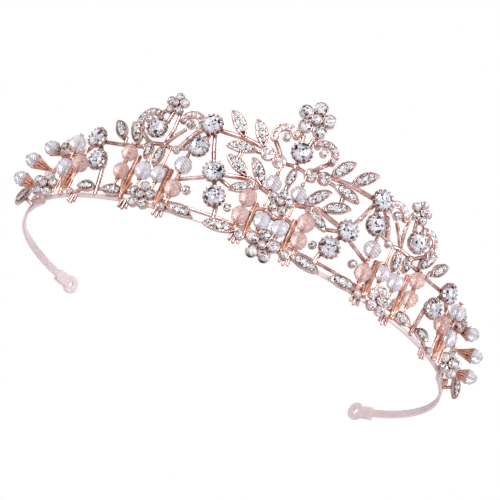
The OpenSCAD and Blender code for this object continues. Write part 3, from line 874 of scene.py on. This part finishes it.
def seats_within(points, seats):
    """The seats of the stones inside a flower's box, loosened a little, with the middle one first."""
    low, high = points.min(0) - 0.1 * MM, points.max(0) + 0.6 * MM
    inside = [s for s in seats if np.all((low < s[0].translation[:]) & (high > s[0].translation[:]))]
    middle = Vector(points.mean(0))
    return sorted(inside, key=lambda s: (s[0].translation - middle).length)


def add_flower(shape, seats):
    """A flower: a cup for each stone, the plate that joins them, and balls between the petals."""
    for place, radius, _ in seats:
        add_cup(shape, place, radius)
    centre = seats[0][0]
    flat = centre.inverted()
    petals = [flat @ s[0].translation for s in seats[1:]]
    pitch = sum(math.hypot(p.x, p.y) for p in petals) / len(petals)
    back = min(p.z for p in petals) - CUP_DEPTH + PLATE_INSET
    front = back + PLATE_THICK
    plate = revolve([(0.02, back), (pitch - 0.1, back), (pitch, back + 0.15), (pitch, front - 0.15),
                     (pitch - 0.15, front), (0.02, front)], 32)
    shape.add(plate, centre)
    for petal in petals:
        angle = math.atan2(petal.y, petal.x) + TAU / PETALS / 2
        spot = polar(pitch * PETAL_BALL_REACH, angle, back + PETAL_BALL_HEIGHT)
        shape.add(ball(PETAL_BALL, spot), centre)


def make_flowers():
    for node, stones in FLOWERS:
        seats = [stone_seat(points) for points in solids(stones)]
        shape = Shape()
        for points in solids(node):
            add_flower(shape, seats_within(points, seats))
        stand_for(shape.build(f"{node}_cups", CUP), "rose_gold", node)


# Claws round a big crystal
CLAWS = 14
# Thickness of a claw along its length: it narrows over the crystal's edge and ends in a fat tip
CLAW_RADII = [0.26, 0.25, 0.24, 0.24, 0.26, 0.3, 0.22]


def claw_setting(shape, place, radius):
    """An open crown of claws round a big crystal: two rings, and claws that bend over its edge."""
    lower = [(1.5, 0.0), (2.2, 0.0), (2.32, 0.2), (2.3, 0.5), (2.2, 0.75), (1.5, 0.75)]
    gallery = [(2.5, 1.05), (2.85, 1.0), (2.95, 1.15), (2.92, 1.4), (2.55, 1.4)]
    shape.add(revolve(lower, 36, closed=True), place)
    shape.add(revolve(gallery, 36, closed=True), place)
    for i in range(CLAWS):
        angle = TAU * i / CLAWS
        line = [(2.1, 0.35), (2.6, 0.9), (radius + 0.24, 1.5), (radius + 0.34, 2.1), (radius + 0.32, 2.6),
                (radius + 0.12, 3.0), (radius - 0.3, 3.2)]
        shape.add(tube([polar(r, angle, z) for r, z in line], CLAW_RADII, 8), place)


def make_crystals():
    for cups, stones in (("centre_claw_cup", "centre_crystal"), ("left_claw_cups", "left_crystals"),
                         ("right_claw_cups", "right_crystals")):
        metal, glass = Shape(), Shape()
        for points in solids(stones):
            place, radius, height = stone_seat(points)
            claw_setting(metal, lifted(place, -CUP_BELOW_CRYSTAL), radius)
            add_stone(glass, place, radius, height, BIG_CROWN, BIG_GIRDLE, BIG_DARK_REFLECTIONS)
        stand_for(metal.build(f"{cups}_crown", CUP), "rose_gold", cups)
        stand_for(glass.build(f"{stones}_cut", CRYSTAL), "crystal", stones)


# Radius of the hole through a bead, in millimetres
HOLE = 0.45
# How much bigger a threaded bead is than the smooth CAD ball that stands for it
BEAD_GROWTH = 1.08


def cut_bead(radius, steps, jitter):
    """A round bead cut with staggered facets, and drilled along z. Jitter pushes its corners in unevenly."""
    rows = 5
    rings = []
    top = math.acos(HOLE * 1.35 / radius)
    for i in range(rows + 1):
        tilt = -top + 2 * top * i / rows
        start = 0.5 * (i % 2)
        ring = []
        for j in range(steps):
            reach = radius * (1 - random.uniform(0, 2 * jitter)) * math.cos(tilt)
            ring.append(polar(reach, TAU * (j + start) / steps, radius * math.sin(tilt)))
        rings.append(ring)
    points = [p for ring in rings for p in ring]
    faces = []
    for i in range(rows):
        a, b = i * steps, (i + 1) * steps
        for j in range(steps):
            k = (j + 1) % steps
            if i % 2 == 0:
                faces += [(a + j, a + k, b + j), (a + k, b + k, b + j)]
            else:
                faces += [(a + j, a + k, b + k), (a + j, b + k, b + j)]
    base = len(points)
    # The hole's two ends lie just inside the bead's, each turned as the ring beside it
    for ring, start in ((rings[-1], 0.5), (rings[0], 0)):
        points += [polar(HOLE, TAU * (j + start) / steps, ring[0][2] * 0.96) for j in range(steps)]
    last = rows * steps
    for j in range(steps):
        k = (j + 1) % steps
        faces.append((last + j, last + k, base + k, base + j))
        faces.append((base + j, base + k, base + steps + k, base + steps + j))
        faces.append((base + steps + j, base + steps + k, k, j))
    return points, faces


def ribbed_bead(radius):
    """A round bead moulded with fine slanting ribs, drilled along z."""
    rows, steps, ribs = 18, 72, 12
    groove, slant = 0.03, 5
    rings = []
    top = math.acos(HOLE * 1.3 / radius)
    for i in range(rows + 1):
        tilt = -top + 2 * top * i / rows
        fade = math.cos(tilt)
        ring = []
        for j in range(steps):
            angle = TAU * j / steps
            reach = radius * (1 - groove * fade * (1 + math.cos(ribs * angle + slant * tilt)) / 2)
            ring.append(polar(reach * math.cos(tilt), angle, reach * math.sin(tilt)))
        rings.append(ring)
    for height in (0.93, -0.93):
        rings.append([polar(HOLE, TAU * j / steps, radius * height) for j in range(steps)])
    return rings_to_part(rings, closed=True)


def round_solid(points):
    """Middle and radius in millimetres of a ball."""
    low, high = points.min(0), points.max(0)
    return Vector((low + high) / 2), float((high - low).max()) / 2 / MM


def bead_seat(middle, axis=UP):
    """A place in millimetres whose z runs along a bead's thread."""
    return seat(middle, axis.orthogonal(), axis)


# A bell holds the bead whose middle is nearer to its own than this, in metres
BELL_REACH = 4.5 * MM


def bells_and_fans(side):
    """The bells, each by the bead that it holds, and the upright fans."""
    beads = [round_solid(points) for points in solids(f"{side}_clear_beads")]
    bells, fans = [], []
    for points in solids(f"{side}_bell_caps"):
        middle = Vector((points.min(0) + points.max(0)) / 2)
        bead, radius = min(beads, key=lambda b: (b[0] - middle).length)
        if (bead - middle).length < BELL_REACH:
            axis = (bead - Vector(points.mean(0))).normalized()
            stalk = float(((points - np.array(bead)) @ np.array(axis)).min()) / MM
            bells.append((bead, radius, axis, stalk))
        else:
            fans.append(points)
    return bells, fans


def bell_axis(middle, bells):
    """The way that a bell points to the bead here, or None where no bell holds the bead."""
    for bead, _, axis, _ in bells:
        if (bead - middle).length < MM:
            return axis
    return None


def make_clear_beads(side):
    bells = bells_and_fans(side)[0]
    shape = Shape()
    for points in solids(f"{side}_clear_beads"):
        middle, radius = round_solid(points)
        axis = bell_axis(middle, bells)
        grow, thread = (BEAD_GROWTH, UP) if axis is None else (1.0, axis)
        place = lifted(bead_seat(middle, thread), 0, random.uniform(0, TAU))
        shape.add(cut_bead(grow * radius, steps=8, jitter=0.01), place, smooth=False)
    stand_for(shape.build(f"{side}_clear_beads_cut", CLEAR), "clear_bead", f"{side}_clear_beads")


def make_peach_beads(side):
    shape = Shape()
    for points in solids(f"{side}_peach_beads"):
        middle, radius = round_solid(points)
        bead = cut_bead(BEAD_GROWTH * radius, steps=7, jitter=0.035)
        shape.add(bead, lifted(bead_seat(middle), 0, random.uniform(0, TAU)), smooth=False)
    stand_for(shape.build(f"{side}_peach_beads_moulded", PEACH), "peach_bead", f"{side}_peach_beads")


def make_turning_beads(side):
    for kind in ("drop_bead", "striped_bead"):
        node = f"{side}_{kind}"
        shape = Shape()
        middle, radius = round_solid(solids(node)[0])
        shape.add(ribbed_bead(radius), bead_seat(middle))
        stand_for(shape.build(f"{node}_ribbed", STRIPED), "clear_bead", node)


def make_beads():
    for side in SIDES:
        make_clear_beads(side)
        make_peach_beads(side)
        make_turning_beads(side)


# ---- copper bells, fans and wires ----

# Radii of the feet of bells and fans, the depth of their mouths, and their ribs
BELL_FOOT = 0.85
FAN_FOOT = 0.95
MOUTH_DEPTH = 1.2
BELL_RIBS = 11
FAN_RIBS = 9
# Where a bell's mouth ends, as a share of its bead's radius short of the bead's middle
BELL_END = 0.35


def fluted(profile, ribs):
    """Turns (radius, z, flute, scallop) points about z into a skin pressed into round ribs."""
    depth, steps_per_rib = 0.3, 6
    steps = ribs * steps_per_rib
    rings = []
    for radius, z, flute, scallop in profile:
        ring = []
        for j in range(steps):
            rib = abs(math.sin(math.pi * j / steps_per_rib))
            reach = radius * (1 - depth * flute * (1 - rib))
            ring.append(polar(reach, TAU * j / steps, z + scallop * rib))
        rings.append(ring)
    return rings_to_part(rings, closed=True)


def bell_part(foot, mouth, start, end, ribs):
    """A ribbed copper bell along z, with a scalloped and hollow mouth."""
    neck, collar, depth = foot * 0.8, 0.5, MOUTH_DEPTH
    flare = end - start - collar
    outer = [(foot * 0.5, start, 0, 0), (foot, start + 0.12, 0, 0), (foot * 0.82, start + collar, 0.2, 0)]
    outer += [(neck + (mouth - neck) * t ** 1.25, start + collar + flare * t, 0.4 + 0.6 * t, 0)
              for t in (0.2, 0.4, 0.6, 0.8, 0.93)]
    outer.append((mouth * 1.02, end, 1, 0.32))
    inner = [(mouth * 0.9, end - 0.05, 1, 0.28), (mouth * 0.82, end - depth * 0.4, 0.8, 0),
             (mouth * 0.55, end - depth, 0.3, 0), (foot * 0.4, end - depth * 1.05, 0, 0)]
    return fluted(outer + inner, ribs)


def make_bell_caps():
    for side in SIDES:
        shape = Shape()
        bells, fans = bells_and_fans(side)
        for bead, radius, axis, stalk in bells:
            bell = bell_part(BELL_FOOT, radius + 0.05, stalk, -BELL_END * radius, BELL_RIBS)
            shape.add(bell, bead_seat(bead, axis))
        for points in fans:
            low, high = points.min(0), points.max(0)
            mouth = (high - low)[:2].max() / 2 / MM
            foot = Vector(((low[0] + high[0]) / 2, (low[1] + high[1]) / 2, low[2]))
            fan = bell_part(FAN_FOOT, mouth, 0, (high[2] - low[2]) / MM, FAN_RIBS)
            shape.add(fan, bead_seat(foot))
        stand_for(shape.build(f"{side}_bell_caps_ribbed", COPPER), "rose_gold", f"{side}_bell_caps")


# The coil round a post, in millimetres: its wire's radius, the rise of a turn, how far it starts inside the
# fan, and how far below the post's top it ends
WRAP_WIRE = 0.2
WRAP_PITCH = 0.46
WRAP_START = 0.6
WRAP_END = 0.2
# A post's own points lie this near its axis, in metres
POST_REACH = 0.9 * MM
# The short coil at the end of a bead, in millimetres
COLLAR_RADIUS = 0.52
COLLAR_WIRE = 0.19
COLLAR_PITCH = 0.36
COLLAR_LENGTH = 0.9
# Where that coil starts, as a share of the bead's radius
COLLAR_START = 0.93


def add_post_wrap(shape, wires, fan):
    """A tight copper coil round the post that stands in a fan."""
    low, high = fan.min(0), fan.max(0)
    axis = (low + high)[:2] / 2
    reach = np.linalg.norm(wires[:, :2] - axis, axis=1)
    near = reach < POST_REACH
    start = high[2] / MM - WRAP_START
    end = wires[near][:, 2].max() / MM - WRAP_END
    wrap = coil(start, end, reach[near].max() / MM - 0.05, WRAP_WIRE, WRAP_PITCH)
    shape.add(wrap, bead_seat(Vector((axis[0], axis[1], 0))))


def add_collars(shape, points):
    """A short coil at each end of a bead on an upright wire."""
    middle, radius = round_solid(points)
    for way in (-1, 1):
        start = radius * COLLAR_START
        ends = sorted((way * start, way * (start + COLLAR_LENGTH)))
        shape.add(coil(*ends, COLLAR_RADIUS, COLLAR_WIRE, COLLAR_PITCH), bead_seat(middle))


def make_wires():
    """The bead wires, with copper coils round the posts and at the ends of the beads that no bell holds."""
    for side in SIDES:
        node = f"{side}_bead_wires"
        shape = Shape()
        wires = np.vstack(solids(node))
        bells, fans = bells_and_fans(side)
        for fan in fans:
            add_post_wrap(shape, wires, fan)
        for points in solids(f"{side}_clear_beads") + solids(f"{side}_peach_beads"):
            if bell_axis(round_solid(points)[0], bells) is None:
                add_collars(shape, points)
        piece = shape.build(f"{side}_copper_wraps", COPPER)
        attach(piece, BODY_OF[node])
        stand_for(cast(f"{node}_drawn", node, COPPER, voxel=0.12, relax=2), "rose_gold", node)


make_camera()
make_world()
make_floor()
soft_box("key_light", (-0.45, -0.9, 0.5), 0.35, 4.5)
soft_box("fill_light", (0.9, -0.5, 0.2), 0.3, 2.4)
soft_box("rim_light", (0.2, 0.9, 0.5), 0.3, 2.0)
soft_box("low_light", (-0.5, -0.3, -0.5), 0.4, 1.6)
bpy.context.scene.view_settings.view_transform = "Standard"

make_band()
make_castings()
make_leaves()
make_small_stones()
make_small_bezels()
make_flowers()
make_crystals()
make_beads()
make_bell_caps()
make_wires()
